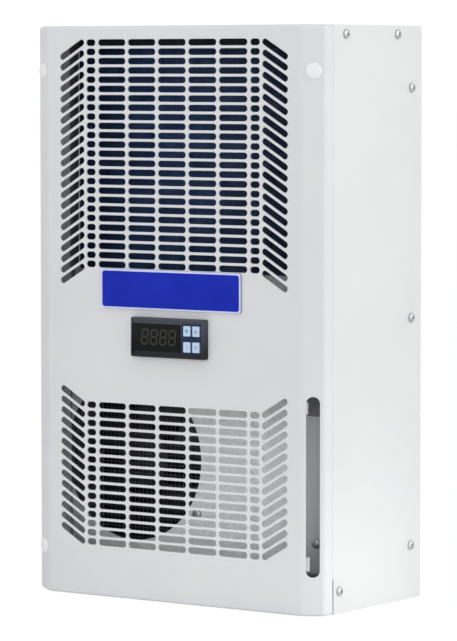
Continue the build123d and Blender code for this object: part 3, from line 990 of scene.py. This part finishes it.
def sealStrip():
    bm = bmesh.new()
    addBlock(bm, (-seal["half"], seal["front"], seal["low"]),
             (seal["half"], seal["back"], seal["high"]))
    finishPiece("sealStrip", bm, [sealGrey])


sealStrip()
print("fin packs stacked")


# pale floor, white surroundings and soft lamps on the sides that show; from here on in metres
studio = {"floor": tone(246, 246, 246), "floorHalf": 30.0, "floorSunk": 0.0005, "floorGlow": 0.93,
          "world": 0.645, "white": 1.03}
lamps = {
    "sideLight": {"place": (3.0, 1.2, 1.2), "aim": (0, 0, 0.3), "size": (2.0, 2.0),
                  "power": 40.0, "colour": (1.0, 0.995, 0.985)},
    "topLight": {"place": (0.9, -0.5, 1.2), "aim": (0.15, 0, 0.5), "size": (0.5, 0.5),
                 "power": 1.3, "colour": (1.0, 1.0, 1.0)},
    "frontLight": {"place": (0.2, -2.6, 0.9), "aim": (0, 0, 0.3), "size": (1.2, 1.2),
                   "power": 11.8, "colour": (0.99, 0.99, 1.0)},
    "browLight": {"place": (-0.1, -0.35, 0.85), "aim": (-0.05, -0.08, 0.47), "size": (0.4, 0.2),
                  "power": 0.3, "colour": (1.0, 1.0, 1.0)},
    "footLightSide": {"place": (0.312, 0.0, 0.012), "aim": (0.152, 0.0, 0.012), "size": (0.24, 0.02),
                      "power": 0.07, "colour": (1.0, 1.0, 1.0)},
    "footLightFront": {"place": (0.0, -0.3, 0.012), "aim": (0.0, -0.078, 0.012), "size": (0.3, 0.02),
                       "power": 0.06, "colour": (1.0, 1.0, 1.0)},
}


def softLight(name, look):
    lamp = bpy.data.lights.new(name, "AREA")
    lamp.shape = "RECTANGLE"
    lamp.size, lamp.size_y = look["size"]
    lamp.energy = look["power"]
    lamp.color = look["colour"]
    holder = bpy.data.objects.new(name, lamp)
    holder.location = look["place"]
    sight = Vector(look["aim"]) - Vector(look["place"])
    holder.rotation_euler = sight.to_track_quat("-Z", "Y").to_euler()
    holder.visible_camera = False
    scene.collection.objects.link(holder)


def studioFloor():
    bm = bmesh.new()
    bmesh.ops.create_grid(bm, x_segments=2, y_segments=2, size=studio["floorHalf"])
    data = bpy.data.meshes.new("studioFloor")
    bm.to_mesh(data)
    bm.free()
    floor = bpy.data.objects.new("studioFloor", data)
    floor.location.z = -studio["floorSunk"]
    scene.collection.objects.link(floor)
    finish = bpy.data.materials.new("floorPale")
    finish.use_nodes = True
    tree = finish.node_tree
    shader = tree.nodes["Principled BSDF"]
    shader.inputs["Base Color"].default_value = studio["floor"]
    shader.inputs["Roughness"].default_value = 0.9
    shader.inputs["Specular IOR Level"].default_value = 0.0
    glow = tree.nodes.new("ShaderNodeEmission")
    glow.inputs["Color"].default_value = (1, 1, 1, 1)
    glow.inputs["Strength"].default_value = studio["white"]
    rays = tree.nodes.new("ShaderNodeLightPath")
    share = tree.nodes.new("ShaderNodeMath")
    share.operation = "MULTIPLY"
    share.inputs[1].default_value = studio["floorGlow"]
    mix = tree.nodes.new("ShaderNodeMixShader")
    tree.links.new(rays.outputs["Is Camera Ray"], share.inputs[0])
    tree.links.new(share.outputs["Value"], mix.inputs["Fac"])
    tree.links.new(shader.outputs["BSDF"], mix.inputs[1])
    tree.links.new(glow.outputs["Emission"], mix.inputs[2])
    tree.links.new(mix.outputs["Shader"], tree.nodes["Material Output"].inputs["Surface"])
    data.materials.append(finish)


def studioWorld():
    world = bpy.data.worlds.new("studioWorld")
    scene.world = world
    world.use_nodes = True
    tree = world.node_tree
    light = tree.nodes["Background"]
    light.inputs["Color"].default_value = (1, 1, 1, 1)
    light.inputs["Strength"].default_value = studio["world"]
    back = tree.nodes.new("ShaderNodeBackground")
    back.inputs["Color"].default_value = (1, 1, 1, 1)
    back.inputs["Strength"].default_value = studio["white"]
    rays = tree.nodes.new("ShaderNodeLightPath")
    seen = tree.nodes.new("ShaderNodeMath")
    seen.operation = "MAXIMUM"
    seenToo = tree.nodes.new("ShaderNodeMath")
    seenToo.operation = "MAXIMUM"
    mix = tree.nodes.new("ShaderNodeMixShader")
    tree.links.new(rays.outputs["Is Camera Ray"], seen.inputs[0])
    tree.links.new(rays.outputs["Is Glossy Ray"], seen.inputs[1])
    tree.links.new(seen.outputs["Value"], seenToo.inputs[0])
    tree.links.new(rays.outputs["Is Transmission Ray"], seenToo.inputs[1])
    tree.links.new(seenToo.outputs["Value"], mix.inputs["Fac"])
    tree.links.new(light.outputs["Background"], mix.inputs[1])
    tree.links.new(back.outputs["Background"], mix.inputs[2])
    tree.links.new(mix.outputs["Shader"], tree.nodes["World Output"].inputs["Surface"])


studioFloor()
studioWorld()
for name, look in lamps.items():
    softLight(name, look)

# camera where the photo was taken
lens = {"mm": 209.5, "sensor": 36.0, "turn": 35.069, "down": 3.861, "place": (1.8861, -2.6794, 0.4628),
        "far": 200.0}
cameraData = bpy.data.cameras.new("photoCamera")
cameraData.lens = lens["mm"]
cameraData.sensor_width = lens["sensor"]
cameraData.clip_end = lens["far"]
camera = bpy.data.objects.new("photoCamera", cameraData)
camera.location = lens["place"]
camera.rotation_euler = (math.radians(90 - lens["down"]), 0, math.radians(lens["turn"]))
scene.collection.objects.link(camera)
scene.camera = camera
print("studio and camera ready")

bpy.context.view_layer.update()
